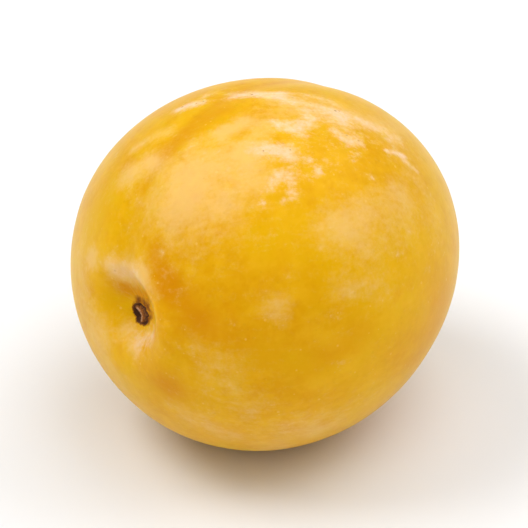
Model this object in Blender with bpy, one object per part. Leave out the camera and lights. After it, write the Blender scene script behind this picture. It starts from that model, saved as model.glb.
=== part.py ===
"""Plum: one ripe golden plum, as picked, lying on its side.

The fruit grew as one piece, so it is one closed solid. The stem end points to -X and is a little
raised, the blossom end points to +X, and the suture runs over the top, a little to +Y. The origin
is the bottom centre of the fruit's box, level with the flat spot that it rests on.
"""

import math

import bmesh
import bpy
from mathutils import Matrix, Vector

# Size of the fruit, in metres, before it is laid down.
LENGTH = 0.0540  # stem shoulders to blossom end
WIDTH = 0.0512  # cheek to cheek
HEIGHT = 0.0500  # suture to back

# Proportions of the outline that is turned about the stem axis.
STEM_FULLNESS = 0.077  # how much broader the stem half is than the blossom half
ROUNDNESS = 0.97  # below 1, the shoulders are squarer than an ellipse

# Stem cavity, in metres: a wide bowl with a small funnel in it, down to the floor that the stem's
# scar is on. The funnel's own axis is off the stem axis, towards the lip.
BOWL_DEPTH = 0.0018
BOWL_RADIUS = 0.0092
FUNNEL_DEPTH = 0.0016
FUNNEL_RADIUS = 0.0052
FUNNEL_FLOOR_RADIUS = 0.00215
FUNNEL_Y = -0.00115
FUNNEL_Z = 0.00055
GENTLE_SIDE = 50.0  # degrees from +Y towards +Z: away from the lip, where the funnel is less steep
GENTLE_REACH = 0.55  # how much farther it reaches there, as a share of its radius

# Lip of the cavity, raised on the -Y side only, and the shallow trough outside it, in metres.
LIP_HEIGHT = 0.0006
LIP_RADIUS = 0.0075
LIP_HALF_WIDTH = 0.0020
TROUGH_DEPTH = 0.0002
TROUGH_RADIUS = 0.0120
TROUGH_HALF_WIDTH = 0.0030

# Suture, a shallow crease from the stem cavity to the blossom end, in metres.
SUTURE_DEPTH = 0.00026
SUTURE_NOTCH_DEPTH = 0.0004  # extra depth where it crosses the cavity's rim
SUTURE_HALF_WIDTH = 0.0026

# Blossom end: a pinhead dimple where the style dropped off, leaning to the suture, in metres.
BLOSSOM_DIMPLE_DEPTH = 0.0004
BLOSSOM_DIMPLE_RADIUS = 0.0014
BLOSSOM_LEAN = 0.0008

# How the fruit lies, in degrees, and how much its underside is pressed flat, in metres.
STEM_END_RAISED = 6.4
SUTURE_ROLL = 12.0
REST_SPOT_DEPTH = 0.00055

# Uneven growth: direction from the centre, height in metres, spread in degrees.
SWELLINGS = (
    (Vector((0.30, 0.90, -0.30)), 0.00030, 34.0),  # far cheek, fuller
    (Vector((0.60, -0.60, -0.50)), -0.00020, 28.0),  # low on the near cheek, flatter
    (Vector((-0.50, -0.40, 0.75)), 0.00016, 24.0),  # near shoulder beside the suture
    (Vector((-0.30, 0.50, 0.80)), -0.00012, 24.0),  # far shoulder beside the suture
)

# Fineness of the mesh.
OUTLINE_POINTS = 44
SECTORS = 60
CAVITY_CROWDING = 1.4  # above 1, the outline's points crowd towards the stem cavity

SKIN_COLOUR = (0.80, 0.38, 0.006, 1.0)
SKIN_ROUGHNESS = 0.38


def clear_scene():
    for item in list(bpy.data.objects):
        bpy.data.objects.remove(item, do_unlink=True)


def smooth_step(value):
    """Rises from 0 to 1 with no corner at either end."""
    value = min(max(value, 0.0), 1.0)
    return 0.5 - 0.5 * math.cos(math.pi * value)


def bell(distance, half_width):
    """1 at no distance, fading evenly to 0."""
    return math.exp(-((distance / half_width) ** 2))


def outline_point(turn):
    """A point of the body's outline, from the stem end at turn 0 to the blossom end at pi."""
    along = -0.5 * LENGTH * math.cos(turn)
    fullness = 1.0 + STEM_FULLNESS * math.cos(turn)
    out = 0.5 * WIDTH * max(math.sin(turn), 0.0) ** ROUNDNESS * fullness
    return Vector((along, 0.0, out))


def turned_body(mesh):
    """Turns the outline about the stem axis into a closed body with no cavity yet."""
    points = []
    for index in range(OUTLINE_POINTS):
        share = index / (OUTLINE_POINTS - 1)
        points.append(outline_point(math.pi * share**CAVITY_CROWDING))
    points[0].z = 0.0
    points[-1].z = 0.0
    chain = [mesh.verts.new(point) for point in points]
    edges = [mesh.edges.new(pair) for pair in zip(chain, chain[1:])]
    bmesh.ops.spin(
        mesh,
        geom=chain + edges,
        cent=(0.0, 0.0, 0.0),
        axis=(1.0, 0.0, 0.0),
        angle=2.0 * math.pi,
        steps=SECTORS,
        use_merge=True,
    )
    bmesh.ops.remove_doubles(mesh, verts=mesh.verts, dist=1e-6)


def cavity_sink(point):
    """How far the skin drops towards the centre of the fruit at the stem end."""
    bowl = smooth_step(math.hypot(point.y, point.z) / BOWL_RADIUS)
    across = point.y - FUNNEL_Y
    up = point.z - FUNNEL_Z
    gentle = 0.5 + 0.5 * math.cos(math.atan2(up, across) - math.radians(GENTLE_SIDE))
    reach = FUNNEL_RADIUS * (1.0 + GENTLE_REACH * gentle)
    run = math.hypot(across, up) - FUNNEL_FLOOR_RADIUS
    funnel = smooth_step(run / (reach - FUNNEL_FLOOR_RADIUS))
    return BOWL_DEPTH * (1.0 - bowl) + FUNNEL_DEPTH * (1.0 - funnel)


def lip_rise(point):
    """How far the cavity's lip stands up. It fades out round the rim, away from the -Y side."""
    radius = math.hypot(point.y, point.z)
    towards_near_side = max(-point.y / radius, 0.0) if radius > 0.0 else 0.0
    rise = LIP_HEIGHT * bell(radius - LIP_RADIUS, LIP_HALF_WIDTH)
    dip = TROUGH_DEPTH * bell(radius - TROUGH_RADIUS, TROUGH_HALF_WIDTH)
    return towards_near_side * (rise - dip)


def blossom_sink(point):
    """How far the skin drops where the style dropped off."""
    return BLOSSOM_DIMPLE_DEPTH * bell(math.hypot(point.y, point.z), BLOSSOM_DIMPLE_RADIUS)


def suture_drop(point):
    """How deep the crease is here. It lies on the +Z side and fades out at both ends."""
    fade = smooth_step(3.0 * point.z / (0.5 * HEIGHT))
    at_rim = bell(point.z - LIP_RADIUS, LIP_RADIUS) if point.x < 0.0 else 0.0
    depth = SUTURE_DEPTH + SUTURE_NOTCH_DEPTH * at_rim
    return depth * fade * bell(point.y, SUTURE_HALF_WIDTH)


def swelling(point):
    """How far uneven growth moves the skin out from the centre."""
    total = 0.0
    for direction, height, spread in SWELLINGS:
        total += height * bell(math.degrees(point.angle(direction)), spread)
    return total


def grow(mesh):
    """Sinks the cavity, the dimple and the suture, and swells the cheeks unevenly."""
    for vert in mesh.verts:
        body = vert.co.copy()
        if body.x < 0.0:
            vert.co.x += cavity_sink(body) - lip_rise(body)
        else:
            vert.co.x -= blossom_sink(body)
            vert.co.z += BLOSSOM_LEAN * (body.x / (0.5 * LENGTH)) ** 2
        vert.co += body.normalized() * (swelling(body) - suture_drop(body))


def fit_to_size(mesh):
    """Stretches the body to the stated length, width and height."""
    wanted = (LENGTH, WIDTH, HEIGHT)
    factors = []
    for axis in range(3):
        places = [vert.co[axis] for vert in mesh.verts]
        factors.append(wanted[axis] / (max(places) - min(places)))
    bmesh.ops.scale(mesh, vec=factors, verts=mesh.verts)


def lay_down(mesh):
    """Rolls the suture to one side and raises the stem end."""
    roll = Matrix.Rotation(math.radians(-SUTURE_ROLL), 3, "X")
    lift = Matrix.Rotation(math.radians(STEM_END_RAISED), 3, "Y")
    bmesh.ops.rotate(mesh, cent=(0.0, 0.0, 0.0), matrix=lift @ roll, verts=mesh.verts)


def press_rest_spot(mesh):
    """Cuts the underside level, so that the fruit rests on a small flat spot."""
    level = min(vert.co.z for vert in mesh.verts) + REST_SPOT_DEPTH
    cut = bmesh.ops.bisect_plane(
        mesh,
        geom=mesh.verts[:] + mesh.edges[:] + mesh.faces[:],
        plane_co=(0.0, 0.0, level),
        plane_no=(0.0, 0.0, -1.0),
        clear_outer=True,
    )
    rim = [item for item in cut["geom_cut"] if isinstance(item, bmesh.types.BMEdge)]
    bmesh.ops.contextual_create(mesh, geom=rim)


def set_origin(mesh):
    """Puts the bottom centre of the fruit's box at the origin."""
    lows = [min(vert.co[axis] for vert in mesh.verts) for axis in range(3)]
    highs = [max(vert.co[axis] for vert in mesh.verts) for axis in range(3)]
    shift = Vector((-0.5 * (lows[0] + highs[0]), -0.5 * (lows[1] + highs[1]), -lows[2]))
    bmesh.ops.translate(mesh, vec=shift, verts=mesh.verts)


def skin_material():
    material = bpy.data.materials.new("plum_skin")
    material.use_nodes = True
    shader = material.node_tree.nodes["Principled BSDF"]
    shader.inputs["Base Color"].default_value = SKIN_COLOUR
    shader.inputs["Roughness"].default_value = SKIN_ROUGHNESS
    shader.inputs["Metallic"].default_value = 0.0
    return material


def build_plum():
    mesh = bmesh.new()
    turned_body(mesh)
    grow(mesh)
    fit_to_size(mesh)
    lay_down(mesh)
    press_rest_spot(mesh)
    set_origin(mesh)
    bmesh.ops.recalc_face_normals(mesh, faces=mesh.faces)
    data = bpy.data.meshes.new("plum")
    mesh.to_mesh(data)
    mesh.free()
    data.shade_smooth()
    data.set_sharp_from_angle(angle=math.radians(35.0))
    data.materials.append(skin_material())
    plum = bpy.data.objects.new("plum", data)
    bpy.context.scene.collection.objects.link(plum)
    return plum


clear_scene()
build_plum()
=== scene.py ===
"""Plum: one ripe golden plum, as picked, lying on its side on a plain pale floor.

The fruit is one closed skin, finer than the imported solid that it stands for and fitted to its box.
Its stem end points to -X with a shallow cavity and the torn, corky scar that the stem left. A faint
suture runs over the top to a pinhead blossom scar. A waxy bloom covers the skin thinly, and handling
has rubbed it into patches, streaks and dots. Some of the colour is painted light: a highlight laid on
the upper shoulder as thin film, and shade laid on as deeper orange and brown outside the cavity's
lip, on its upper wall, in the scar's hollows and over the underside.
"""

import logging
import math
from dataclasses import dataclass, field
from enum import Enum
from typing import ClassVar

import bmesh
import bpy
import numpy as np
from mathutils import Matrix, Vector, noise


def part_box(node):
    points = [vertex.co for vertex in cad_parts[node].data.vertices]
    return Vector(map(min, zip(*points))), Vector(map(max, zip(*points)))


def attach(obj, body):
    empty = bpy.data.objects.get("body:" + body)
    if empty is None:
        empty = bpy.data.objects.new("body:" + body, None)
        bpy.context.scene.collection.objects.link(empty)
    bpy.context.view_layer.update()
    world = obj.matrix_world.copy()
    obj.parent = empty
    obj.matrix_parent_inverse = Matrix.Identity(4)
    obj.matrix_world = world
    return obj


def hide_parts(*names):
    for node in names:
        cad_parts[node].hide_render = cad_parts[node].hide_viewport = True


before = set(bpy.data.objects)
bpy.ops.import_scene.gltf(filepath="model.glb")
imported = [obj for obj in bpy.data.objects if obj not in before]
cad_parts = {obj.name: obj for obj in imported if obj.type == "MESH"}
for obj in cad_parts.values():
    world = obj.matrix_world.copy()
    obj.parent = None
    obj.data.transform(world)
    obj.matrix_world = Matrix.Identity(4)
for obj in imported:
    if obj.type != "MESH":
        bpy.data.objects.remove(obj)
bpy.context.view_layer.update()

LOG = logging.getLogger("plum")
MM = 0.001  # metres in a millimetre
PER_METRE = 1000.0  # millimetres in a metre, for patterns given in millimetres
OFFSET_SKEW = 1.7  # makes an offset move a pattern unevenly along its axes
NO_LENGTH = 1e-12  # stands in for the squared length of a round mark, which has none
NOISE_MEAN = 0.5  # of the materials' noise, which runs from 0 to 1

Direction = tuple[float, float, float]  # from the fruit's centre
Colour = tuple[float, float, float, float]  # red, green, blue, and 1 for opaque
Levels = tuple[float, float]  # where an effect starts and where it is full
Box = tuple[Vector, Vector]  # lowest and highest corner
Inputs = dict[str | int, object]  # a source or a plain value for each input, by its name or number
Socket = bpy.types.NodeSocket
Tree = bpy.types.NodeTree


def smooth_step(value: float) -> float:
    """Rises from 0 to 1 with no corner at either end."""
    value = min(max(value, 0.0), 1.0)
    return 0.5 - 0.5 * math.cos(math.pi * value)


def bell(distance: float, half_width: float) -> float:
    """Gives 1 at no distance and fades evenly to 0."""
    return math.exp(-((distance / half_width) ** 2))


def ripple(place: Vector, wavelength: float, offset: float) -> float:
    """Smooth noise from about -1 to 1, its bumps a wavelength wide, its pattern moved by the offset."""
    return noise.noise(place / wavelength + Vector((offset, OFFSET_SKEW * offset, -offset)))


def from_axis(body: Vector) -> float:
    """Distance from the stem axis."""
    return math.hypot(body.y, body.z)


def on_ring(around: float, along: float) -> Vector:
    """A point on a ring of radius 1, where noise closes on itself, moved along the ring's axis."""
    return Vector((math.cos(around), math.sin(around), along))


def add_object(name: str, data: bpy.types.ID) -> bpy.types.Object:
    """Puts a new object in the scene.

    Args:
        name: the object's name.
        data: its mesh, light or camera.

    Returns:
        The new object.
    """
    made = bpy.data.objects.new(name, data)
    bpy.context.scene.collection.objects.link(made)
    return made


class Layer(Enum):
    """The values painted on the skin's vertices, each under its own attribute name."""

    BLOOM = "bloom"  # thick waxy film
    HAZE = "haze"  # thin waxy film, and a painted highlight on the upper shoulder
    AMBER = "amber"  # riper, deeper orange skin, and painted shade on the underside and round the stem cavity
    CLEAR = "clear"  # skin rubbed clean, a purer yellow
    CORK = "cork"  # browned skin next to a scar, and painted shade on the stem cavity's upper wall
    CREASE = "crease"  # the line along the bottom of the suture
    SCAR_HEIGHT = "scar_height"  # the scar's relief, 0.5 where it is level


class Slot(Enum):
    """The fruit's material slots, by their index on the mesh."""

    SKIN = 0
    SCAR = 1


@dataclass
class StemCavity:
    """The hollow that the stem grew in: a wide bowl with a small steep funnel in it."""

    bowl_depth: float = 1.8 * MM
    bowl_radius: float = 9.2 * MM
    funnel_depth: float = 1.6 * MM
    funnel_radius: float = 5.2 * MM
    floor_radius: float = 2.15 * MM
    funnel_y: float = -1.15 * MM  # the funnel sits off the stem axis
    funnel_z: float = 0.55 * MM
    gentle_side: float = math.radians(50.0)  # the side, away from the lip, where it is less steep
    gentle_reach: float = 0.55  # how much farther it reaches there
    lip_height: float = 0.60 * MM
    lip_radius: float = 7.5 * MM
    lip_half_width: float = 2.0 * MM
    trough_depth: float = 0.20 * MM  # the shallow dip outside the lip
    trough_radius: float = 12.0 * MM
    trough_half_width: float = 3.0 * MM
    fold_height: float = 0.13 * MM
    folds_round: float = 3.4  # how closely the folds stand round the funnel
    fold_drift: float = 0.12  # how much they change with each millimetre from its axis
    fold_radius: float = 3.5 * MM
    fold_half_width: float = 1.5 * MM
    finer_folds: float = 2.7  # how many times closer the finer folds stand
    finer_share: float = 0.5  # the finer folds' share of the height

    def from_funnel(self, body: Vector) -> float:
        """Distance from the funnel's own axis."""
        return math.hypot(body.y - self.funnel_y, body.z - self.funnel_z)

    def angle(self, body: Vector) -> float:
        """Angle round the funnel's own axis, from +Y towards +Z."""
        return math.atan2(body.z - self.funnel_z, body.y - self.funnel_y)

    def sink(self, body: Vector) -> float:
        """How far the skin drops towards the centre of the fruit.

        Args:
            body: the point on the fruit before it is sunk.

        Returns:
            The drop in metres.
        """
        bowl = smooth_step(from_axis(body) / self.bowl_radius)
        gentle = 0.5 + 0.5 * math.cos(self.angle(body) - self.gentle_side)
        reach = self.funnel_radius * (1.0 + self.gentle_reach * gentle)
        run = self.from_funnel(body) - self.floor_radius
        funnel = smooth_step(run / (reach - self.floor_radius))
        return self.bowl_depth * (1.0 - bowl) + self.funnel_depth * (1.0 - funnel)

    def lip(self, body: Vector) -> float:
        """How far the lip stands up. It fades out round the rim, away from the -Y side.

        Args:
            body: the point on the fruit before it is sunk.

        Returns:
            The height in metres, below 0 in the trough.
        """
        radius = from_axis(body)
        near_side = max(-body.y / radius, 0.0) if radius > 0.0 else 0.0
        rise = self.lip_height * bell(radius - self.lip_radius, self.lip_half_width)
        dip = self.trough_depth * bell(radius - self.trough_radius, self.trough_half_width)
        return near_side * (rise - dip)

    def folds(self, body: Vector) -> float:
        """Height of the fine puckers that radiate from the scar up the funnel's wall.

        Args:
            body: the point on the fruit before it is sunk.

        Returns:
            The height in metres, below 0 between puckers.
        """
        radius = self.from_funnel(body)
        place = on_ring(self.angle(body), self.fold_drift * radius / MM)
        pleat = 1.0 - 2.0 * abs(noise.noise(place * self.folds_round))
        finer = noise.noise(place * self.finer_folds * self.folds_round)
        window = bell(radius - self.fold_radius, self.fold_half_width)
        return self.fold_height * window * (pleat + self.finer_share * finer)


@dataclass
class StemScar:
    """The torn, corky ring at the bottom of the funnel, with what is left of the stem's fibres."""

    radius: float = 1.52 * MM
    middle_y: float = -0.32 * MM
    middle_z: float = -0.12 * MM
    raggedness: float = 0.20
    notch_drift: float = 0.4  # picks the outline's pattern of notches
    notches_round: float = 2.1  # how closely the outline's notches stand
    nicks_round: float = 6.3  # how closely its finer nicks stand
    nick_share: float = 0.35  # the nicks' depth, as a share of the notches'
    relief_reach: float = 1.6  # the relief ends here, as a share of the radius
    knob_size: float = 0.45 * MM
    moat_depth: float = 0.17 * MM
    moat_share: float = 0.84  # of the radius
    moat_half_width: float = 0.12
    crescent_height: float = 0.34 * MM
    crescent_faces: float = math.radians(160.0)  # the side on which the fibres still stand
    crescent_radius: float = 1.12 * MM  # from the pit's middle
    crescent_half_width: float = 0.25 * MM
    crescent_level: float = 0.25  # how far the crescent runs round the pit
    crescent_swing: float = 0.95  # how quickly it ends there
    crescent_knobs: float = 0.35
    pit_depth: float = 0.50 * MM
    pit_radius: float = 0.60 * MM
    pit_offset: float = 0.88 * MM
    edge_height: float = 0.08 * MM
    edge_share: float = 1.06  # of the radius
    edge_half_width: float = 0.09
    edge_level: float = 0.6  # how much of the torn edge stands everywhere
    edge_knobs: float = 0.8
    fibre_height: float = 0.07 * MM
    fibre_size: float = 0.16 * MM
    fibre_reach: float = 1.3  # the fibres end here, as a share of the radius
    browned_side: float = math.radians(45.0)  # from +Z towards -Y: the funnel's upper wall, which faces down and where the browning also paints shade
    browned_focus: int = 3  # how closely the browning keeps to that side
    browned_rim: float = 0.14  # how far it reaches all round, as a share of the radius
    browned_reach: float = 1.25  # how much farther it reaches on its own side, where it paints the shade on that wall

    def angle(self, body: Vector) -> float:
        """Angle round the scar's middle, from +Y towards +Z."""
        return math.atan2(body.z - self.middle_z, body.y - self.middle_y)

    def edge(self, around: float) -> float:
        """Radius of the ragged outline.

        Args:
            around: the angle round the scar's middle.

        Returns:
            The radius in metres.
        """
        ring = on_ring(around, self.notch_drift)
        nicks = self.nick_share * noise.noise(ring * self.nicks_round)
        ragged = noise.noise(ring * self.notches_round) + nicks
        return self.radius * (1.0 + self.raggedness * ragged)

    def reach(self, body: Vector) -> float:
        """Distance from the scar's middle as a share of the outline's radius."""
        away = math.hypot(body.y - self.middle_y, body.z - self.middle_z)
        return away / self.edge(self.angle(body))

    def relief(self, body: Vector) -> float:
        """Height of the scar's pit, crescent of fibres, moat and torn edge, outwards.

        Args:
            body: the point on the fruit before it is sunk.

        Returns:
            The height in metres, below 0 where the scar is hollow.
        """
        share = self.reach(body)
        if share > self.relief_reach:
            return 0.0
        uneven = noise.noise(body / self.knob_size)
        from_pit_y = body.y - self.middle_y + self.pit_offset * math.cos(self.crescent_faces)
        from_pit_z = body.z - self.middle_z + self.pit_offset * math.sin(self.crescent_faces)
        from_pit = math.hypot(from_pit_y, from_pit_z)
        turn = math.atan2(from_pit_z, from_pit_y) - self.crescent_faces
        facing = smooth_step(self.crescent_level + self.crescent_swing * math.cos(turn))
        crescent = facing * bell(from_pit - self.crescent_radius, self.crescent_half_width)
        ridge = self.crescent_height * crescent * (1.0 + self.crescent_knobs * uneven)
        moat = self.moat_depth * bell(share - self.moat_share, self.moat_half_width)
        torn = self.edge_level + self.edge_knobs * uneven
        edge = self.edge_height * bell(share - self.edge_share, self.edge_half_width) * torn
        pit = self.pit_depth * bell(from_pit, self.pit_radius)
        fade = smooth_step(self.fibre_reach - share)
        fibres = self.fibre_height * noise.noise(body / self.fibre_size) * fade
        return ridge + edge + fibres - moat - pit

    def browning(self, body: Vector) -> float:
        """How brown the skin is: 1 at the scar's edge, fading out up the funnel, and reaching farther up
        its upper wall, where it also paints the shade on that wall.

        Args:
            body: the point on the fruit before it is sunk.

        Returns:
            The share of cork.
        """
        above = 0.5 + 0.5 * math.sin(self.angle(body) - self.browned_side)
        fade = self.browned_rim + self.browned_reach * above**self.browned_focus
        return bell(max(self.reach(body) - 1.0, 0.0), fade)


@dataclass
class Suture:
    """The shallow crease from the stem cavity to the blossom end, on the fruit's +Z side."""

    depth: float = 0.26 * MM
    notch_depth: float = 0.40 * MM  # extra depth where it crosses the cavity's rim
    half_width: float = 2.6 * MM
    notch_radius: float = 7.5 * MM
    end_fade: float = 3.0  # how quickly the crease fades in from both ends
    line_fade: float = 2.0  # how quickly its deeper orange line does
    line_start: float = 0.6  # how much later the line starts
    line_share: float = 0.35  # the line's width, as a share of the crease's

    def drop(self, body: Vector, half_height: float) -> float:
        """How deep the crease is here.

        Args:
            body: the point on the fruit before it is sunk.
            half_height: half of the fruit's height.

        Returns:
            The depth in metres.
        """
        fade = smooth_step(self.end_fade * body.z / half_height)
        at_rim = bell(body.z - self.notch_radius, self.notch_radius) if body.x < 0.0 else 0.0
        return (self.depth + self.notch_depth * at_rim) * fade * bell(body.y, self.half_width)

    def line(self, body: Vector, half_height: float) -> float:
        """How near the bottom of the crease is, 1 on it, where the skin is coloured a deeper orange."""
        fade = smooth_step(self.line_fade * body.z / half_height - self.line_start)
        return fade * bell(body.y, self.line_share * self.half_width)


@dataclass
class BlossomEnd:
    """The pinhead scar where the style dropped off, in its dimple."""

    dimple_depth: float = 0.40 * MM
    dimple_radius: float = 1.4 * MM
    lean: float = 0.8 * MM  # how far this end leans towards the suture
    point_radius: float = 0.34 * MM
    point_height: float = 0.16 * MM
    point_crest: float = 0.6  # where the point stands highest, as a share of its radius
    point_half_width: float = 0.5  # as a share of its radius
    pucker_height: float = 0.03 * MM
    puckers_round: float = 3.0  # how closely the puckers stand
    pucker_radius: float = 1.1 * MM
    pucker_half_width: float = 0.7 * MM
    browned_reach: float = 1.5  # how far the browning reaches, as a share of the point's radius

    def sink(self, body: Vector) -> float:
        """How far the skin drops towards the centre of the fruit.

        Args:
            body: the point on the fruit before it is sunk.

        Returns:
            The drop in metres.
        """
        radius = from_axis(body)
        from_crest = radius - self.point_crest * self.point_radius
        point = self.point_height * bell(from_crest, self.point_half_width * self.point_radius)
        ring = on_ring(math.atan2(body.z, body.y), 0.0)
        wave = noise.noise(ring * self.puckers_round)
        pucker = self.pucker_height * wave * bell(radius - self.pucker_radius, self.pucker_half_width)
        return self.dimple_depth * bell(radius, self.dimple_radius) - point - pucker

    def browning(self, body: Vector) -> float:
        """How corky the skin is here, 1 at the tiny point."""
        return bell(from_axis(body), self.browned_reach * self.point_radius)


@dataclass(frozen=True)
class Swelling:
    """One broad unevenness of growth."""

    towards: Vector
    height: float
    spread: float  # degrees

    def rise(self, body: Vector) -> float:
        """How far it moves the skin out from the centre."""
        return self.height * bell(math.degrees(body.angle(self.towards)), self.spread)


@dataclass
class Growth:
    """Everything uneven about how the fruit grew, from broad cheeks to faint waves."""

    swellings: tuple[Swelling, ...] = (
        Swelling(Vector((0.30, 0.90, -0.30)), 0.30 * MM, 34.0),
        Swelling(Vector((0.60, -0.60, -0.50)), -0.20 * MM, 28.0),
        Swelling(Vector((-0.50, -0.40, 0.75)), 0.16 * MM, 24.0),
        Swelling(Vector((-0.30, 0.50, 0.80)), -0.12 * MM, 24.0),
    )
    waves: tuple[tuple[float, float], ...] = (
        (11.0 * MM, 0.060 * MM),
        (4.2 * MM, 0.022 * MM),
        (1.7 * MM, 0.005 * MM),
    )  # wavelength and height
    wave_offset: float = 3.1  # sets each wave's pattern apart from the one before

    def rise(self, body: Vector) -> float:
        """How far growth moves the skin out from the centre.

        Args:
            body: the point on the fruit before it is sunk.

        Returns:
            The distance in metres, below 0 where the skin falls in.
        """
        total = sum(swelling.rise(body) for swelling in self.swellings)
        for index, (wavelength, height) in enumerate(self.waves):
            total += height * ripple(body, wavelength, self.wave_offset * index)
        return total


@dataclass(frozen=True)
class Stroke:
    """One mark on the skin, running between two directions from the fruit's centre."""

    start: Direction
    end: Direction
    half_width: float  # millimetres
    strength: float

    def cover(self, directions: np.ndarray, radius: float) -> np.ndarray:
        """How strongly the mark covers each point of the skin.

        Args:
            directions: one unit vector from the fruit's centre to each vertex.
            radius: the fruit's mean radius, which turns angles into lengths.

        Returns:
            One value for each vertex, the stroke's strength along its middle.
        """
        start = np.array(self.start) / np.linalg.norm(self.start)
        end = np.array(self.end) / np.linalg.norm(self.end)
        run = end - start
        length = max(float(run @ run), NO_LENGTH)
        share = np.clip((directions - start) @ run / length, 0.0, 1.0)
        nearest = start + share[:, None] * run
        nearest /= np.linalg.norm(nearest, axis=1)[:, None]
        away = np.linalg.norm(directions - nearest, axis=1) * radius / (self.half_width * MM)
        return self.strength * np.exp(-(away**2))


def spot(towards: Direction, half_width: float, strength: float) -> Stroke:
    """A round mark, which is a stroke with no length."""
    return Stroke(towards, towards, half_width, strength)


BLOOM_MARKS = (
    # Over the top: one long brushed streak, which starts thick and frays towards the blossom end.
    Stroke((-0.09, 0.19, 0.98), (0.05, 0.00, 0.99), 1.6, 1.00),
    Stroke((0.08, -0.10, 0.99), (0.24, -0.26, 0.94), 1.7, 0.55),
    Stroke((0.24, -0.26, 0.94), (0.53, -0.44, 0.72), 1.6, 0.48),
    Stroke((0.10, 0.04, 0.99), (0.32, -0.15, 0.94), 0.8, 0.66),
    Stroke((0.34, -0.53, 0.78), (0.46, -0.55, 0.70), 0.5, 1.00),
    Stroke((0.42, -0.57, 0.71), (0.49, -0.62, 0.61), 0.5, 0.85),
    # Below it, two thick patches with drips running down from the lower one.
    Stroke((-0.10, -0.26, 0.96), (0.03, -0.25, 0.97), 1.5, 0.65),
    spot((-0.15, -0.19, 0.97), 1.1, 0.75),
    Stroke((-0.34, -0.25, 0.91), (-0.23, -0.37, 0.90), 1.4, 0.72),
    Stroke((-0.36, -0.41, 0.84), (-0.41, -0.43, 0.80), 0.8, 0.80),
    Stroke((-0.32, -0.45, 0.84), (-0.36, -0.52, 0.78), 0.9, 0.60),
    spot((-0.49, -0.45, 0.75), 0.6, 0.70),
    spot((-0.41, -0.51, 0.75), 0.6, 0.70),
    # Beads of it, scattered over the near shoulder.
    Stroke((-0.25, -0.35, 0.90), (0.15, -0.45, 0.88), 5.0, 0.30),
    Stroke((0.05, -0.20, 0.98), (0.45, -0.45, 0.77), 3.5, 0.19),
    spot((-0.17, -0.51, 0.84), 0.7, 1.00),
    spot((-0.17, -0.45, 0.88), 0.5, 0.80),
    Stroke((0.10, -0.38, 0.92), (0.13, -0.46, 0.88), 0.9, 0.66),
    spot((0.20, -0.47, 0.86), 0.8, 0.62),
    spot((0.10, -0.65, 0.75), 0.5, 0.90),
    # By the stem end: a small patch on the shoulder, and the cavity's sheltered walls.
    Stroke((-0.32, 0.37, 0.87), (-0.23, 0.31, 0.92), 1.3, 0.80),
    spot((-0.28, 0.36, 0.89), 1.7, 0.40),
    Stroke((-0.14, 0.34, 0.93), (-0.04, 0.32, 0.95), 1.1, 0.62),
    Stroke((-1.00, -0.07, -0.03), (-0.985, -0.18, 0.06), 1.3, 0.80),
    Stroke((-0.95, 0.11, 0.30), (-0.935, -0.04, 0.35), 1.6, 0.66),
    # Out of the way of hands, on the far side and round the blossom end: a thin dusting.
    Stroke((0.24, 0.72, 0.65), (-0.22, 0.80, 0.55), 3.0, 0.42),
    spot((0.12, 0.76, 0.64), 1.3, 0.45),
    Stroke((0.50, 0.66, 0.56), (0.74, 0.33, 0.58), 2.2, 0.45),
    spot((0.05, 0.93, 0.35), 4.0, 0.38),
    spot((-0.16, 0.95, 0.25), 1.1, 0.50),
    spot((0.97, 0.08, 0.20), 3.6, 0.40),
    Stroke((0.93, -0.25, 0.20), (0.85, -0.48, 0.10), 1.5, 0.60),
    Stroke((-0.38, 0.88, 0.14), (-0.64, 0.72, -0.08), 2.4, 0.42),
    spot((0.45, 0.80, -0.25), 5.0, 0.36),
)

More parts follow.
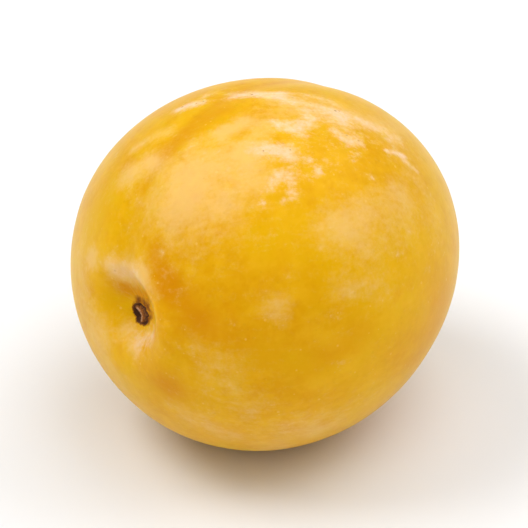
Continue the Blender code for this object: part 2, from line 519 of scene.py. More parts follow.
HAZE_AND_HIGHLIGHT_MARKS = (
    # Over the top.
    Stroke((-0.37, -0.03, 0.93), (-0.25, -0.06, 0.97), 1.6, 0.85),
    Stroke((-0.19, -0.15, 0.97), (-0.40, -0.22, 0.89), 1.6, 0.50),
    Stroke((-0.40, -0.22, 0.89), (-0.42, -0.36, 0.83), 2.0, 0.55),
    Stroke((0.00, -0.10, 0.99), (0.55, -0.35, 0.74), 4.0, 0.55),
    # The near side, from the shoulder down, with a painted highlight on the upper shoulder.
    # painted highlight: the key light's broad reflection on the upper shoulder, laid on as thin film
    spot((-0.66, -0.15, 0.74), 7.0, 1.05),
    Stroke((0.44, -0.51, 0.74), (0.42, -0.83, 0.38), 2.4, 0.32),
    Stroke((-0.31, -0.70, 0.64), (0.25, -0.72, 0.65), 2.6, 0.45),
    spot((-0.19, -0.81, 0.55), 4.8, 0.52),
    spot((0.17, -0.83, 0.54), 4.4, 0.48),
    spot((-0.63, -0.70, 0.34), 2.0, 0.55),
    Stroke((-0.34, -0.86, 0.38), (-0.14, -0.94, 0.31), 2.0, 0.35),
    Stroke((-0.89, -0.45, 0.12), (-0.79, -0.60, 0.08), 2.2, 0.22),
    Stroke((-0.85, -0.52, -0.03), (-0.74, -0.63, -0.23), 3.2, 0.34),
    Stroke((-0.44, -0.85, -0.30), (-0.10, -0.94, -0.33), 3.0, 0.20),
    Stroke((-0.88, -0.34, -0.33), (-0.74, -0.50, -0.47), 2.6, 0.55),
    Stroke((-0.55, -0.73, -0.41), (-0.41, -0.78, -0.47), 3.4, 0.60),
    spot((-0.51, -0.56, -0.65), 4.0, 0.60),
    # Round the stem cavity and in it.
    Stroke((-0.58, 0.38, 0.72), (-0.47, 0.27, 0.84), 1.1, 0.60),
    Stroke((-0.71, 0.30, 0.64), (-0.64, 0.20, 0.74), 1.7, 0.80),
    Stroke((-0.86, 0.45, 0.23), (-0.97, 0.20, -0.10), 2.6, 0.45),
    Stroke((-0.97, 0.20, -0.10), (-0.90, 0.04, -0.43), 2.6, 0.45),
    Stroke((-0.92, -0.10, 0.38), (-0.94, -0.19, 0.29), 0.8, 0.25),
    Stroke((-0.94, -0.19, 0.29), (-0.97, -0.27, 0.05), 1.2, 0.15),
    spot((-0.92, 0.28, 0.27), 1.5, 1.00),
    Stroke((-0.95, 0.12, 0.29), (-0.93, -0.06, 0.35), 1.8, 1.00),
    Stroke((-1.00, 0.05, -0.02), (-1.00, -0.08, -0.07), 1.2, 0.60),
    # The far side and the blossom end.
    spot((0.20, 0.80, 0.50), 7.0, 0.60),
    spot((0.30, 0.85, -0.30), 7.0, 0.50),
    spot((0.97, 0.05, 0.15), 6.0, 0.55),
    spot((0.70, -0.60, -0.20), 6.0, 0.50),
)

AMBER_AND_SHADE_MARKS = (
    # Along the lip, below it and on the cavity's upper wall. Outside the lip this deeper orange partly
    # paints the shade of the dip there; on the upper wall it is painted shade.
    Stroke((-0.88, -0.12, 0.47), (-0.90, -0.24, 0.37), 1.9, 0.68),
    Stroke((-0.90, -0.26, 0.36), (-0.88, -0.40, 0.25), 2.6, 0.58),
    spot((-0.94, -0.29, -0.17), 3.2, 0.85),
    # painted shade: the cavity's upper wall, which faces down, made deeper orange
    Stroke((-0.98, 0.10, 0.20), (-0.97, -0.05, 0.22), 1.6, 0.90),
    # A streak over the shoulder, and the near side's riper patches.
    Stroke((-0.57, 0.15, 0.80), (-0.24, 0.11, 0.97), 2.3, 0.60),
    spot((-0.65, 0.35, 0.67), 1.6, 0.60),
    Stroke((-0.84, -0.50, 0.21), (-0.72, -0.68, 0.11), 3.6, 0.42),
    Stroke((-0.48, -0.88, 0.05), (-0.29, -0.94, 0.15), 3.0, 0.45),
    # The cheeks, and a broad patch of painted shade over the underside.
    spot((0.35, -0.90, 0.00), 7.0, 0.60),
    spot((0.60, 0.70, -0.10), 8.0, 0.70),
    spot((-0.45, 0.85, -0.20), 5.0, 0.50),
    # painted shade: the underside darker, standing in for the shade under the fruit
    spot((0.35, -0.60, -0.70), 13.0, 0.65),
)

CLEAR_MARKS = (
    # Patches that handling has rubbed bare.
    spot((-0.57, -0.53, 0.62), 3.2, 1.00),
    Stroke((-0.85, 0.40, 0.35), (-0.74, 0.31, 0.60), 2.6, 0.90),
    Stroke((-0.72, -0.68, 0.11), (-0.48, -0.88, 0.02), 2.6, 0.60),
    spot((0.70, 0.10, 0.70), 4.0, 0.80),
    spot((-0.20, 0.90, 0.30), 4.5, 0.80),
    spot((-0.99, 0.14, 0.12), 2.2, 0.90),
)


@dataclass
class SkinChart:
    """Where the bloom, the haze and the riper or cleaner places lie on the skin."""

    centre_height: float
    radius: float  # the fruit's mean radius
    most_cover: float = 1.5  # the sum of overlapping strokes stops here
    marks: dict[Layer, tuple[Stroke, ...]] = field(
        default_factory=lambda: {
            Layer.BLOOM: BLOOM_MARKS,
            Layer.HAZE: HAZE_AND_HIGHLIGHT_MARKS,
            Layer.AMBER: AMBER_AND_SHADE_MARKS,
            Layer.CLEAR: CLEAR_MARKS,
        }
    )

    def paint(self, data: bpy.types.Mesh) -> None:
        """Writes one attribute a layer on the vertices, with no effect on the shape.

        Args:
            data: the finished mesh, in the row frame.
        """
        places = np.empty(3 * len(data.vertices))
        data.vertices.foreach_get("co", places)
        directions = places.reshape(-1, 3) - np.array((0.0, 0.0, self.centre_height))
        directions /= np.linalg.norm(directions, axis=1)[:, None]
        for layer, strokes in self.marks.items():
            cover = np.zeros(len(directions))
            for stroke in strokes:
                cover = np.minimum(cover + stroke.cover(directions, self.radius), self.most_cover)
            attribute = data.attributes.new(layer.value, "FLOAT", "POINT")
            attribute.data.foreach_set("value", cover.astype(np.float32))


@dataclass(frozen=True)
class Mottle:
    """A cloudy pattern: noise cut between two levels."""

    GROUP: ClassVar[str] = "plum_mottle"
    size: float  # millimetres
    detail: float  # how fine it goes
    low: float  # the noise at which it starts
    high: float  # the noise at which it is full
    strength: float = 1.0


@dataclass(frozen=True)
class Specks:
    """Dots of uneven size, scattered over the skin."""

    GROUP: ClassVar[str] = "plum_specks"
    spacing: float  # millimetres
    radius: float  # millimetres
    share: float  # of the places that they could take
    strength: float


@dataclass(frozen=True)
class Film:
    """A waxy film that breaks up at its edges into grains, gaps and the drag marks of handling."""

    GROUP: ClassVar[str] = "plum_film"
    low: float  # the cover at which it starts
    high: float  # the cover at which it is whole
    breakup: float  # how far noise shifts the cover


class NodeSheet:
    """A node tree with short calls for the nodes that the finishes are made of."""

    MIX_SHARE, MIX_BELOW, MIX_ABOVE = 0, 6, 7  # a colour Mix node's inputs
    MIX_RESULT = 2  # and its output

    def __init__(self, tree: Tree) -> None:
        """Takes the tree that nodes are added to."""
        self.tree = tree

    def feed(self, node: bpy.types.Node, inputs: Inputs) -> None:
        """Links each source to its input, or sets the input where the value is a plain one.

        Args:
            node: the node to feed.
            inputs: what goes to its inputs.
        """
        for key, value in inputs.items():
            if isinstance(value, bpy.types.NodeSocket):
                self.tree.links.new(value, node.inputs[key])
            else:
                node.inputs[key].default_value = value

    def node(self, kind: str, inputs: Inputs | None = None, **settings: object) -> bpy.types.Node:
        """Adds a node and feeds it.

        Args:
            kind: the node's type name, such as ShaderNodeMath.
            inputs: what goes to its inputs.
            **settings: properties to set on the node itself.

        Returns:
            The new node.
        """
        made = self.tree.nodes.new(kind)
        for name, value in settings.items():
            setattr(made, name, value)
        self.feed(made, inputs or {})
        return made

    def math(self, operation: str, *values: object) -> Socket:
        """Adds a Math node and gives its result."""
        return self.node("ShaderNodeMath", dict(enumerate(values)), operation=operation).outputs[0]

    def mix(self, share: object, below: object, above: object) -> Socket:
        """Lays one colour over another, by the share of it that shows, and gives the mixed colour."""
        inputs = {self.MIX_SHARE: share, self.MIX_BELOW: below, self.MIX_ABOVE: above}
        return self.node("ShaderNodeMix", inputs, data_type="RGBA").outputs[self.MIX_RESULT]

    def spread(self, value: object, low: object, high: object) -> Socket:
        """Maps low to 0 and high to 1 with soft ends."""
        inputs = {"Value": value, "From Min": low, "From Max": high}
        return self.node("ShaderNodeMapRange", inputs, interpolation_type="SMOOTHSTEP").outputs["Result"]

    def cloud(self, place: object, scale: object, detail: object, roughness: float = 0.5) -> Socket:
        """Adds smooth noise from 0 to 1 and gives its value."""
        inputs = {"Vector": place, "Scale": scale, "Detail": detail, "Roughness": roughness}
        return self.node("ShaderNodeTexNoise", inputs).outputs["Fac"]

    def bump(self, height: object, strength: float, distance: float) -> Socket:
        """Turns a height into a normal."""
        inputs = {"Height": height, "Strength": strength, "Distance": distance}
        return self.node("ShaderNodeBump", inputs).outputs["Normal"]

    def painted(self, layer: Layer) -> Socket:
        """Reads one of the values painted on the vertices."""
        return self.node("ShaderNodeAttribute", attribute_name=layer.value).outputs["Fac"]

    def millimetres(self, stretch: float = 1.0, turn: float = 0.0) -> Socket:
        """Gives Object coordinates in millimetres.

        Args:
            stretch: how many times longer than wide a pattern comes out, along X.
            turn: degrees that the stretched pattern is turned about +Z.

        Returns:
            The coordinates.
        """
        place = self.node("ShaderNodeTexCoord").outputs["Object"]
        rotation = (0.0, 0.0, math.radians(-turn))
        turned = self.node("ShaderNodeMapping", {"Vector": place, "Rotation": rotation})
        scale = (PER_METRE / stretch, PER_METRE, PER_METRE)
        scaled = self.node("ShaderNodeMapping", {"Vector": turned.outputs["Vector"], "Scale": scale})
        return scaled.outputs["Vector"]

    def place(self, pattern: Mottle | Specks | Film, **sources: Socket) -> Socket:
        """Places a pattern's group with the pattern's own values.

        Args:
            pattern: the pattern, whose fields have the names of the group's inputs in small letters.
            **sources: the group's other inputs, named in the same way.

        Returns:
            The pattern's mask.
        """
        values = {**vars(pattern), **sources}
        inputs = {name.capitalize(): value for name, value in values.items()}
        group = bpy.data.node_groups[pattern.GROUP]
        return self.node("ShaderNodeGroup", inputs, node_tree=group).outputs[0]


class Effects:
    """The node groups behind the patterns, each built once."""

    DOT_LEAST = 0.5  # the smallest dot's radius, as a share of the given one
    DOT_SWING = 0.7  # how much larger the largest dot's is
    DOT_EDGE = (0.55, 1.15)  # a dot fades out between these shares of its radius
    FILM_LAYERS = (
        ("Place", 2.4, 5.0, 0.90),
        ("Drag", 1.0, 4.0, 0.75),
        ("Place", 0.50, 3.0, 0.60),
    )  # coordinates, size in millimetres, detail and share of the breakup
    FILM_ROUGHNESS = 0.62

    @staticmethod
    def start(name: str, vectors: str, values: str) -> tuple[NodeSheet, bpy.types.bpy_prop_collection]:
        """Starts a group with its named sockets.

        Args:
            name: the group's name.
            vectors: the names of its vector inputs, with spaces between.
            values: the names of its number inputs, with spaces between.

        Returns:
            The sheet to add nodes to, and the inputs as sources by name.
        """
        tree = bpy.data.node_groups.new(name, "ShaderNodeTree")
        for kind, labels in (("NodeSocketVector", vectors), ("NodeSocketFloat", values)):
            for label in labels.split():
                tree.interface.new_socket(label, in_out="INPUT", socket_type=kind)
        tree.interface.new_socket("Mask", in_out="OUTPUT", socket_type="NodeSocketFloat")
        sheet = NodeSheet(tree)
        return sheet, sheet.node("NodeGroupInput").outputs

    def build_mottle(self) -> None:
        """Builds the clouds: noise of a given size, cut between two levels."""
        sheet, given = self.start(Mottle.GROUP, "Place", "Size Detail Low High Strength")
        scale = sheet.math("DIVIDE", 1.0, given["Size"])
        cloud = sheet.cloud(given["Place"], scale, given["Detail"])
        level = sheet.spread(cloud, given["Low"], given["High"])
        sheet.node("NodeGroupOutput", {0: sheet.math("MULTIPLY", level, given["Strength"])})

    def build_specks(self) -> None:
        """Builds the dots, which stand on a share of the cells of a loose grid."""
        sheet, given = self.start(Specks.GROUP, "Place", "Spacing Radius Share Strength")
        scale = sheet.math("DIVIDE", 1.0, given["Spacing"])
        cells = sheet.node("ShaderNodeTexVoronoi", {"Vector": given["Place"], "Scale": scale}).outputs
        drawn = sheet.node("ShaderNodeSeparateColor", {0: cells["Color"]}).outputs
        kept = sheet.math("LESS_THAN", drawn[0], given["Share"])
        size = sheet.math("MULTIPLY_ADD", drawn[1], self.DOT_SWING, self.DOT_LEAST)
        radius = sheet.math("MULTIPLY", size, given["Radius"])
        away = sheet.math("MULTIPLY", cells["Distance"], given["Spacing"])
        faded = sheet.spread(sheet.math("DIVIDE", away, radius), *self.DOT_EDGE)
        dots = sheet.math("MULTIPLY", sheet.math("SUBTRACT", 1.0, faded), kept)
        sheet.node("NodeGroupOutput", {0: sheet.math("MULTIPLY", dots, given["Strength"])})

    def build_film(self) -> None:
        """Builds the film: the painted cover, shifted by noise and then cut between two levels."""
        sheet, given = self.start(Film.GROUP, "Place Drag", "Cover Low High Breakup")
        total = given["Cover"]
        for source, size, detail, share in self.FILM_LAYERS:
            cloud = sheet.cloud(given[source], 1.0 / size, detail, self.FILM_ROUGHNESS)
            shifted = sheet.math("SUBTRACT", cloud, NOISE_MEAN)
            amount = sheet.math("MULTIPLY", given["Breakup"], share)
            total = sheet.math("MULTIPLY_ADD", shifted, amount, total)
        sheet.node("NodeGroupOutput", {0: sheet.spread(total, given["Low"], given["High"])})

    def build(self) -> None:
        """Builds every group."""
        self.build_mottle()
        self.build_specks()
        self.build_film()


def start_finish(name: str) -> tuple[bpy.types.Material, NodeSheet, bpy.types.Node]:
    """Starts a material.

    Args:
        name: the material's name.

    Returns:
        The new material, the sheet to add nodes to, and its shader.
    """
    made = bpy.data.materials.new(name)
    made.use_nodes = True
    return made, NodeSheet(made.node_tree), made.node_tree.nodes["Principled BSDF"]


@dataclass(frozen=True)
class SkinFinish:
    """Ripe golden skin under its waxy bloom, with a painted highlight and painted shade in places."""

    gold: Colour = (0.77, 0.437, 0.003, 1.0)
    # deeper orange for riper skin, also used as the colour of painted shade
    amber: Colour = (0.70, 0.305, 0.002, 1.0)
    clean: Colour = (0.77, 0.440, 0.001, 1.0)
    straw: Colour = (0.83, 0.49, 0.018, 1.0)
    dot: Colour = (0.86, 0.56, 0.15, 1.0)
    bloom: Colour = (0.88, 0.65, 0.47, 1.0)
    # the thin film's colour, which also paints the highlight on the upper shoulder
    haze: Colour = (0.86, 0.60, 0.28, 1.0)
    nick: Colour = (0.33, 0.14, 0.020, 1.0)
    # the browning's colours, which on the funnel's upper wall also paint the shade there
    cork: Colour = (0.43, 0.17, 0.010, 1.0)
    scorch: Colour = (0.22, 0.075, 0.010, 1.0)
    shine: Colour = (1.0, 0.76, 0.18, 1.0)

    # The skin's colour, and how it changes where the vertices are painted, painted shade included.
    broad: Mottle = Mottle(13.0, 3.0, 0.36, 0.68, 0.45)
    cloudy: Mottle = Mottle(3.6, 5.0, 0.42, 0.72, 0.55)
    ripe: Mottle = Mottle(2.1, 4.0, 0.50, 0.74, 0.30)
    flecks: Mottle = Mottle(1.1, 6.0, 0.40, 0.72, 0.34)
    veins: Mottle = Mottle(1.3, 4.0, 0.45, 0.75, 0.22)
    vein_stretch: float = 7.0  # how many times longer than wide a vein is
    dots: Specks = Specks(1.5, 0.20, 0.65, 0.40)
    clean_levels: Levels = (0.10, 1.00)
    riper_levels: Levels = (0.05, 1.10)
    crease_strength: float = 0.45
    ragged: Mottle = Mottle(1.1, 6.0, 0.40, 0.72)  # the edge of browned skin
    raggedness: float = 0.55
    cork_levels: Levels = (0.22, 0.95)
    scorch_levels: Levels = (0.72, 1.10)

    # The thick and the thin waxy film; the thin one also carries a painted highlight.
    bloom_film: Film = Film(0.22, 1.35, 1.45)
    haze_film: Film = Film(0.08, 1.10, 0.95)
    bloom_strength: float = 0.76
    haze_strength: float = 0.55
    dragged: float = -38.0  # degrees from +X, the way that hands wiped the bloom
    drag_stretch: float = 5.0  # how many times longer than wide their marks are
    patches: Mottle = Mottle(4.5, 3.0, 0.30, 0.70, 0.40)  # where the haze is thicker
    between_patches: float = 0.8  # the haze's share everywhere else
    haze_round_bloom: float = 0.45
    haze_everywhere: float = 0.08
    nicks: Specks = Specks(1.1, 0.20, 0.65, 0.65)  # tiny dark gaps in the bloom
    nicks_outside_bloom: float = 0.10

    # The surface and the flesh under it.
    roughness: float = 0.36
    haze_roughness: float = 0.12
    bloom_roughness: float = 0.22
    cork_roughness: float = 0.25
    specular: float = 0.24
    coat: float = 0.05  # on skin with no film
    coat_roughness: float = 0.30
    pores: Mottle = Mottle(0.75, 2.0, 0.30, 0.70)
    fine_pores: Mottle = Mottle(0.22, 2.0, 0.30, 0.70, 0.22)
    bloom_grain: float = 0.8  # how high the bloom's grains stand among the pores
    bump_strength: float = 0.45
    bump_height: float = 0.022 * MM
    flesh_glow: float = 0.45
    flesh_depth: float = 2.6 * MM  # how far light wanders under the skin
    flesh_reach: tuple[float, float, float] = (1.0, 0.42, 0.10)  # red, green and blue light's share of it

    def films(self, sheet: NodeSheet) -> tuple[Socket, Socket]:
        """Builds the thick and the thin film's masks.

        Args:
            sheet: the material's nodes.

        Returns:
            The thick film's mask, the bloom, and the thin one's, which also holds the painted highlight.
        """
        place = sheet.millimetres()
        drag = sheet.millimetres(self.drag_stretch, self.dragged)
        thick = sheet.painted(Layer.BLOOM)
        patches = sheet.place(self.patches, place=place)
        uneven = sheet.math("ADD", patches, self.between_patches)
        thin = sheet.math("MULTIPLY", sheet.painted(Layer.HAZE), uneven)
        thin = sheet.math("MULTIPLY_ADD", thick, self.haze_round_bloom, thin)
        thin = sheet.math("ADD", thin, self.haze_everywhere)
        bloom = sheet.place(self.bloom_film, place=place, drag=drag, cover=thick)
        haze = sheet.place(self.haze_film, place=place, drag=drag, cover=thin)
        return bloom, haze

    def tone(self, sheet: NodeSheet, bloom: Socket, haze: Socket) -> Socket:
        """Builds the colour from the flesh outwards.

        Args:
            sheet: the material's nodes.
            bloom: the thick film's mask.
            haze: the thin film's mask, with the painted highlight in it.

        Returns:
            The colour for the shader.
        """
        place = sheet.millimetres()
        fibres = sheet.millimetres(self.vein_stretch)
        tints = [
            (sheet.place(pattern, place=where), tint)
            for pattern, where, tint in (
                (self.broad, place, self.amber),
                (self.cloudy, place, self.straw),
                (self.ripe, place, self.amber),
                (self.flecks, place, self.straw),
                (self.veins, fibres, self.straw),
            )
        ]
        within = sheet.math("MAXIMUM", bloom, self.nicks_outside_bloom)
        nicks = sheet.place(self.nicks, place=place)
        edge = sheet.math("SUBTRACT", sheet.place(self.ragged, place=place), NOISE_MEAN)
        browned = sheet.math("MULTIPLY_ADD", edge, self.raggedness, sheet.painted(Layer.CORK))
        tints += [
            (sheet.spread(sheet.painted(Layer.CLEAR), *self.clean_levels), self.clean),
            # deeper orange over riper patches, and painted shade on the underside and round the stem
            # cavity
            (sheet.spread(sheet.painted(Layer.AMBER), *self.riper_levels), self.amber),
            (sheet.math("MULTIPLY", sheet.painted(Layer.CREASE), self.crease_strength), self.amber),
            (sheet.place(self.dots, place=place), self.dot),
            # the thin film, which also lays on the painted highlight
            (sheet.math("MULTIPLY", haze, self.haze_strength), self.haze),
            (sheet.math("MULTIPLY", bloom, self.bloom_strength), self.bloom),
            (sheet.math("MULTIPLY", nicks, within), self.nick),
            # brown over the scar's edge and up the funnel, painted shade on its upper wall
            (sheet.spread(browned, *self.cork_levels), self.cork),
            (sheet.spread(browned, *self.scorch_levels), self.scorch),
        ]
        tone = self.gold
        for share, tint in tints:
            tone = sheet.mix(share, tone, tint)
        return tone

    def dullness(self, sheet: NodeSheet, bloom: Socket, haze: Socket) -> Socket:
        """Builds the roughness, which the films and the cork raise.

        Args:
            sheet: the material's nodes.
            bloom: the thick film's mask.
            haze: the thin film's mask, with the painted highlight in it.

        Returns:
            The roughness for the shader.
        """
        dull = sheet.math("MULTIPLY_ADD", haze, self.haze_roughness, self.roughness)
        dull = sheet.math("MULTIPLY_ADD", bloom, self.bloom_roughness, dull)
        return sheet.math("MULTIPLY_ADD", sheet.painted(Layer.CORK), self.cork_roughness, dull)

    def grain(self, sheet: NodeSheet, bloom: Socket) -> Socket:
        """Builds the fine grain: shallow pores under grains of bloom.

        Args:
            sheet: the material's nodes.
            bloom: the thick film's mask.

        Returns:
            The normal for the shader.
        """
        place = sheet.millimetres()
        pores = sheet.place(self.pores, place=place)
        fine = sheet.place(self.fine_pores, place=place)
        height = sheet.math("MULTIPLY_ADD", bloom, self.bloom_grain, sheet.math("ADD", fine, pores))
        return sheet.bump(height, self.bump_strength, self.bump_height)

    def material(self) -> bpy.types.Material:
        """Builds the skin's material.

        Returns:
            The new material.
        """
        made, sheet, shader = start_finish("plum_skin")
        bloom, haze = self.films(sheet)
        bare = sheet.math("SUBTRACT", 1.0, sheet.math("MAXIMUM", bloom, haze))
        inputs = {
            "Base Color": self.tone(sheet, bloom, haze),
            "Roughness": self.dullness(sheet, bloom, haze),
            "Normal": self.grain(sheet, bloom),
            "Coat Weight": sheet.math("MULTIPLY", bare, self.coat),
            "Coat Roughness": self.coat_roughness,
            "Specular IOR Level": self.specular,
            "Specular Tint": self.shine,
            "Subsurface Weight": self.flesh_glow,
            "Subsurface Radius": self.flesh_reach,
            "Subsurface Scale": self.flesh_depth,
        }
        sheet.feed(shader, inputs)
        return made


@dataclass(frozen=True)
class ScarFinish:
    """Torn corky tissue and dried fibres: near black in the hollows, partly their own colour and partly
    painted shade, and tan on what stands up.
    """

    # near black where the relief is lowest: the pit's and the moat's own dark tissue, with painted shade
    hollow: Colour = (0.085, 0.027, 0.005, 1.0)
    bark: Colour = (0.34, 0.125, 0.016, 1.0)
    fibre: Colour = (0.54, 0.32, 0.18, 1.0)
    grain: Mottle = Mottle(0.22, 3.0, 0.35, 0.70)
    grain_height: float = 0.25  # how much the grain counts beside the relief
    bark_levels: Levels = (0.38, 0.88)
    fibre_levels: Levels = (0.80, 1.15)
    roughness: float = 0.68
    grain_roughness: float = 0.20
    bump_strength: float = 0.7
    bump_height: float = 0.05 * MM

    def material(self) -> bpy.types.Material:
        """Builds the scar's material.

        Returns:
            The new material.
        """
        made, sheet, shader = start_finish("plum_stem_scar")
        grain = sheet.place(self.grain, place=sheet.millimetres())
        level = sheet.math("MULTIPLY_ADD", grain, self.grain_height, sheet.painted(Layer.SCAR_HEIGHT))
        tone = sheet.mix(sheet.spread(level, *self.bark_levels), self.hollow, self.bark)
        inputs = {
            "Base Color": sheet.mix(sheet.spread(level, *self.fibre_levels), tone, self.fibre),
            "Roughness": sheet.math("MULTIPLY_ADD", grain, self.grain_roughness, self.roughness),
            "Normal": sheet.bump(grain, self.bump_strength, self.bump_height),
        }
        sheet.feed(shader, inputs)
        return made


@dataclass
class Plum:
    """The fruit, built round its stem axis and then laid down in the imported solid's box."""

    box: Box
    length: float = 54.0 * MM
    width: float = 51.2 * MM
    height: float = 50.0 * MM
    stem_fullness: float = 0.077  # how much fuller the body is towards the stem
    roundness: float = 0.97  # below 1, its shoulders are squarer than an ellipse's
    stem_end_raised: float = 6.4  # degrees
    suture_roll: float = 12.0  # degrees from +Z towards +Y
    rest_spot_depth: float = 0.55 * MM
    rest_edge_softness: float = 0.12 * MM
    outline_points: int = 300
    sectors: int = 288
    weld_distance: float = 1e-7  # closes both poles and the seam
    end_crowding: float = 0.6  # up to 1, the outline's points crowd towards both ends
    cavity_crowding: float = 1.3  # above 1, they crowd towards the stem cavity
    cavity: StemCavity = field(default_factory=StemCavity)
    scar: StemScar = field(default_factory=StemScar)
    suture: Suture = field(default_factory=Suture)
    blossom: BlossomEnd = field(default_factory=BlossomEnd)
    growth: Growth = field(default_factory=Growth)
    mesh: bmesh.types.BMesh = field(default_factory=bmesh.new, init=False)

    def outline_point(self, share: float) -> Vector:
        """A point of the body's outline.

        Args:
            share: how far along the outline it is, from 0 at the stem end to 1 at the blossom end.

        Returns:
            The point, in the plane of the stem axis and +Z.
        """
        eased = share - self.end_crowding * math.sin(2.0 * math.pi * share) / (2.0 * math.pi)
        turn = math.pi * max(eased, 0.0) ** self.cavity_crowding
        along = -0.5 * self.length * math.cos(turn)
        fullness = 1.0 + self.stem_fullness * math.cos(turn)
        out = 0.5 * self.width * max(math.sin(turn), 0.0) ** self.roundness * fullness
        return Vector((along, 0.0, out))

    def turn_body(self) -> None:
        """Turns the outline about the stem axis into a closed body with no cavity yet."""
        mesh = self.mesh
        last = self.outline_points - 1
        points = [self.outline_point(index / last) for index in range(self.outline_points)]
        points[0].z = 0.0
        points[-1].z = 0.0
        chain = [mesh.verts.new(point) for point in points]
        edges = [mesh.edges.new(pair) for pair in zip(chain, chain[1:])]
        bmesh.ops.spin(
            mesh,
            geom=chain + edges,
            cent=(0.0, 0.0, 0.0),
            axis=(1.0, 0.0, 0.0),
            angle=2.0 * math.pi,
            steps=self.sectors,
            use_merge=True,
        )
        bmesh.ops.remove_doubles(mesh, verts=mesh.verts, dist=self.weld_distance)
        bmesh.ops.recalc_face_normals(mesh, faces=mesh.faces)

    def grow(self) -> None:
        """Sinks the cavity, dimple and suture, raises the scar and swells the skin unevenly."""
        layers = self.mesh.verts.layers.float
        cork, crease, scar_height = (
            layers.new(layer.value) for layer in (Layer.CORK, Layer.CREASE, Layer.SCAR_HEIGHT)
        )
        for face in self.mesh.faces:
            middle = face.calc_center_median()
            if middle.x < 0.0 and self.scar.reach(middle) < 1.0:
                face.material_index = Slot.SCAR.value
        for vert in self.mesh.verts:
            body = vert.co.copy()
            if body.x < 0.0:
                relief = self.scar.relief(body)
                vert[scar_height] = 0.5 + relief / (2.0 * self.scar.crescent_height)
                vert.co.x += self.cavity.sink(body) - self.cavity.lip(body)
                vert.co.x -= relief + self.cavity.folds(body)
                vert[cork] = self.scar.browning(body)
            else:
                vert.co.x -= self.blossom.sink(body)
                vert.co.z += self.blossom.lean * (body.x / (0.5 * self.length)) ** 2
                vert[cork] = self.blossom.browning(body)
            drop = self.suture.drop(body, 0.5 * self.height)
            vert[crease] = self.suture.line(body, 0.5 * self.height)
            vert.co += body.normalized() * (self.growth.rise(body) - drop)

    def extents(self) -> Box:
        """Lowest and highest corner of the mesh's box."""
        spans = [[vert.co[axis] for vert in self.mesh.verts] for axis in range(3)]
        return Vector(map(min, spans)), Vector(map(max, spans))

    def stretch(self, wanted: Vector) -> None:
        """Stretches the mesh about the origin until its box has the wanted size.

        Args:
            wanted: the box's size.
        """
        lows, highs = self.extents()
        factors = [wanted[axis] / (highs[axis] - lows[axis]) for axis in range(3)]
        bmesh.ops.scale(self.mesh, vec=factors, verts=self.mesh.verts)

    def lay_down(self) -> None:
        """Rolls the suture to one side, raises the stem end and presses the rest spot flat."""
        roll = Matrix.Rotation(math.radians(-self.suture_roll), 3, "X")
        lift = Matrix.Rotation(math.radians(self.stem_end_raised), 3, "Y")
        bmesh.ops.rotate(self.mesh, cent=(0.0, 0.0, 0.0), matrix=lift @ roll, verts=self.mesh.verts)
        level = self.extents()[0].z + self.rest_spot_depth
        for vert in self.mesh.verts:
            above = vert.co.z - level
            vert.co.z = level + 0.5 * (above + math.hypot(above, self.rest_edge_softness))

    def settle(self) -> None:
        """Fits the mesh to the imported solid's box."""
        low, high = self.box
        self.stretch(high - low)
        bmesh.ops.translate(self.mesh, vec=low - self.extents()[0], verts=self.mesh.verts)

    def build(self, finishes: dict[Slot, bpy.types.Material]) -> bpy.types.Object:
        """Builds the fruit and dresses it.

        Args:
            finishes: the material for each slot.

        Returns:
            The finished object.
        """
        self.turn_body()
        self.grow()
        self.stretch(Vector((self.length, self.width, self.height)))
        self.lay_down()
        self.settle()
        data = bpy.data.meshes.new("plum")
        self.mesh.to_mesh(data)
        self.mesh.free()
        data.shade_smooth()
        for slot in Slot:
            data.materials.append(finishes[slot])
        low, high = self.box
        chart = SkinChart(centre_height=0.5 * (low.z + high.z), radius=0.25 * (self.length + self.height))
        chart.paint(data)
        return add_object("plum_fruit", data)


@dataclass(frozen=True)
class FloorFinish:
    """Plain pale matt board."""

    colour: Colour = (0.86, 0.868, 0.882, 1.0)
    roughness: float = 0.7
    specular: float = 0.15

    def material(self) -> bpy.types.Material:
        """Builds the floor's material.

        Returns:
            The new material.
        """
        made, sheet, shader = start_finish("pale_floor")
        inputs = {
            "Base Color": self.colour,
            "Roughness": self.roughness,
            "Specular IOR Level": self.specular,
        }
        sheet.feed(shader, inputs)
        return made


@dataclass(frozen=True)
class SoftLight:
    """One square soft box that faces the fruit."""

    name: str
    towards: Direction  # from the fruit to the light
    distance: float
    size: float  # of each side
    power: float  # watts

    def build(self, centre: Vector) -> None:
        """Hangs the light.

        Args:
            centre: the fruit's centre, which it faces.
        """
        lamp = bpy.data.lights.new(self.name, "AREA")
        lamp.shape = "SQUARE"
        lamp.size = self.size
        lamp.energy = self.power
        made = add_object(self.name, lamp)
        away = Vector(self.towards).normalized()
        made.location = centre + away * self.distance
        made.rotation_euler = away.to_track_quat("Z", "Y").to_euler()


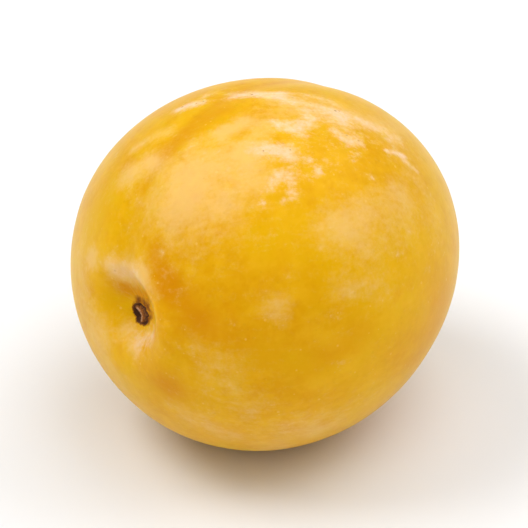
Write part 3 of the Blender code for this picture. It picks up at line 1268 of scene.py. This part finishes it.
@dataclass
class Studio:
    """The floor, the lights and the camera round the fruit."""

    centre: Vector
    floor_size: float = 1.4
    azimuth: float = -43.5  # degrees round +Z from the view along +Y
    elevation: float = 34.0  # degrees above level
    camera_distance: float = 0.364
    aim: tuple[float, float, float] = (-1.2 * MM, 0.3 * MM, -0.95 * MM)  # from the fruit's centre
    view_width: float = 72.0 * MM  # what the frame spans at the fruit
    sensor: float = 36.0  # millimetres
    clip_start: float = 0.01
    clip_end: float = 20.0
    surround: Colour = (1.0, 0.995, 0.985, 1.0)
    overhead_strength: float = 0.28
    horizon_strength: float = 0.43  # the pale walls, from the floor up to wall_top
    backdrop_strength: float = 0.92  # how bright the walls look to the camera
    wall_top: float = 0.10  # sine of the angle above level
    wall_fade: float = 0.10
    lights: tuple[SoftLight, ...] = (
        SoftLight("key_box", (-0.37, 0.43, 0.82), 1.65, 0.90, 10.9),
        SoftLight("top_box", (0.42, -0.18, 0.89), 2.20, 2.20, 18.8),
        SoftLight("front_box", (-0.36, -0.48, 0.80), 2.25, 2.25, 14.0),
        SoftLight("side_box", (0.68, -0.40, 0.80), 2.00, 1.25, 3.6),
    )

    def build_floor(self) -> None:
        """Lays the floor under the fruit."""
        mesh = bmesh.new()
        bmesh.ops.create_grid(mesh, x_segments=1, y_segments=1, size=0.5 * self.floor_size)
        data = bpy.data.meshes.new("floor")
        mesh.to_mesh(data)
        mesh.free()
        data.materials.append(FloorFinish().material())
        floor = add_object("floor", data)

    def build_surround(self) -> None:
        """Surrounds the scene with pale walls, which fade to a dimmer ceiling."""
        world = bpy.data.worlds.new("surround")
        world.use_nodes = True
        sheet = NodeSheet(world.node_tree)
        outwards = sheet.node("ShaderNodeTexCoord").outputs["Generated"]
        height = sheet.node("ShaderNodeSeparateXYZ", {0: outwards}).outputs["Z"]
        above = sheet.spread(height, self.wall_top, self.wall_top + self.wall_fade)
        drop = self.overhead_strength - self.horizon_strength
        lit = sheet.math("MULTIPLY_ADD", above, drop, self.horizon_strength)
        seen = sheet.node("ShaderNodeLightPath").outputs["Is Camera Ray"]
        brighter = sheet.math("MULTIPLY", seen, self.backdrop_strength - self.horizon_strength)
        inputs = {"Color": self.surround, "Strength": sheet.math("ADD", lit, brighter)}
        sheet.feed(world.node_tree.nodes["Background"], inputs)
        bpy.context.scene.world = world
        bpy.context.scene.view_settings.view_transform = "Standard"
        bpy.context.scene.view_settings.look = "Medium High Contrast"

    def build_camera(self) -> None:
        """Sets the camera so that the fruit fills most of the frame."""
        turn = math.radians(self.azimuth)
        rise = math.radians(self.elevation)
        back = Vector((math.sin(turn) * math.cos(rise), -math.cos(turn) * math.cos(rise), math.sin(rise)))
        lens = bpy.data.cameras.new("camera")
        lens.sensor_width = self.sensor
        lens.lens = self.sensor * self.camera_distance / self.view_width
        lens.clip_start = self.clip_start
        lens.clip_end = self.clip_end
        camera = add_object("camera", lens)
        camera.location = self.centre + Vector(self.aim) + back * self.camera_distance
        camera.rotation_euler = back.to_track_quat("Z", "Y").to_euler()
        bpy.context.scene.camera = camera

    def build(self) -> None:
        """Builds the whole studio."""
        self.build_floor()
        self.build_surround()
        for light in self.lights:
            light.build(self.centre)
        self.build_camera()


def main() -> None:
    """Builds the studio, then the fruit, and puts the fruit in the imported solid's place."""
    logging.basicConfig(level=logging.INFO, format="%(name)s: %(message)s")
    low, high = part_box("plum")
    studio = Studio(centre=0.5 * (low + high))
    studio.build()
    LOG.info("studio: floor, %d lights, camera", len(studio.lights))
    Effects().build()
    finishes = {Slot.SKIN: SkinFinish().material(), Slot.SCAR: ScarFinish().material()}
    plum = Plum(box=(low, high)).build(finishes)
    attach(plum, "root")
    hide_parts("plum")


if __name__ == "__main__":
    main()
